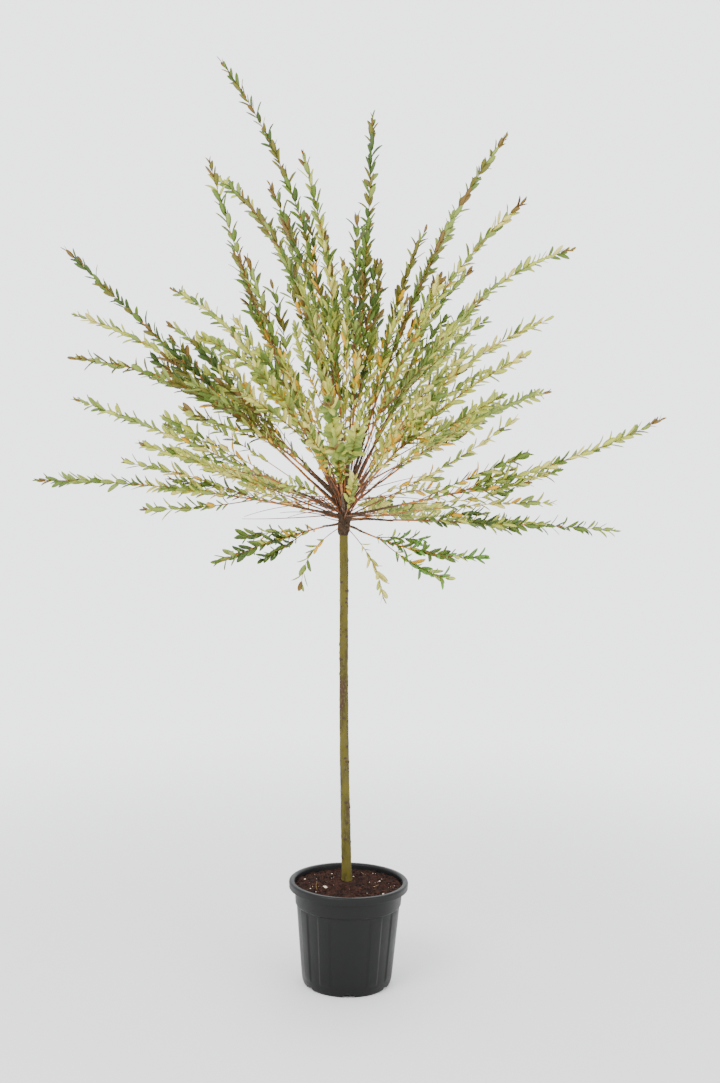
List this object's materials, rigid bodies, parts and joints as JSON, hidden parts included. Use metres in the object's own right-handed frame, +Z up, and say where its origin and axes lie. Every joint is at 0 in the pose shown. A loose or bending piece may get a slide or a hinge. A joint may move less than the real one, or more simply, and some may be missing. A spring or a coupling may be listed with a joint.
{
  "type": "potted standard dappled willow",
  "caption": "Small grafted willow tree in a round nursery pot: straight bare stem, knuckled graft head, and an open crown of long arching wands with small variegated leaves.",
  "frame": {"origin": "middle of the flat underside of the pot, on the ground", "axes": "+Z up along the pot's axis, +X to the right and +Y to the back of the view in the picture"},
  "size_m": [2.0397, 1.8713, 2.959],
  "materials": {
    "pot_plastic": "moulded black plastic, semi-matt",
    "damp_peat": "damp crumbly peat with a few pale bits",
    "stem_bark": "smooth olive green bark with dark scars",
    "old_bark": "rough brown bark",
    "young_bark": "smooth red-brown to ochre twig bark",
    "foliage": "small matt willow leaves, green splashed with cream"
  },
  "bodies": {
    "root": {"pot": "pot_plastic", "soil": "damp_peat", "trunk": "stem_bark", "graft_head": "old_bark", "bough_01": "young_bark", "bough_02": "young_bark", "bough_03": "young_bark", "bough_04": "young_bark", "bough_05": "young_bark", "bough_06": "young_bark", "bough_07": "young_bark", "bough_08": "young_bark", "bough_09": "young_bark", "bough_10": "young_bark", "bough_11": "young_bark", "bough_12": "young_bark", "bough_13": "young_bark", "bough_14": "young_bark", "bough_15": "young_bark", "bough_16": "young_bark", "bough_17": "young_bark", "bough_18": "young_bark", "bough_19": "young_bark", "bough_20": "young_bark", "bough_21": "young_bark", "bough_22": "young_bark", "bough_23": "young_bark", "bough_24": "young_bark", "bough_25": "young_bark", "bough_26": "young_bark", "bough_27": "young_bark", "bough_28": "young_bark", "foliage_01": "foliage", "foliage_02": "foliage", "foliage_03": "foliage", "foliage_04": "foliage", "foliage_05": "foliage", "foliage_06": "foliage", "foliage_07": "foliage", "foliage_08": "foliage", "foliage_09": "foliage", "foliage_10": "foliage", "foliage_11": "foliage", "foliage_12": "foliage", "foliage_13": "foliage", "foliage_14": "foliage", "foliage_15": "foliage", "foliage_16": "foliage", "foliage_17": "foliage", "foliage_18": "foliage", "foliage_19": "foliage", "foliage_20": "foliage", "foliage_21": "foliage", "foliage_22": "foliage", "foliage_23": "foliage", "foliage_24": "foliage", "foliage_25": "foliage", "foliage_26": "foliage", "foliage_27": "foliage", "foliage_28": "foliage"}
  },
  "joints": []
}
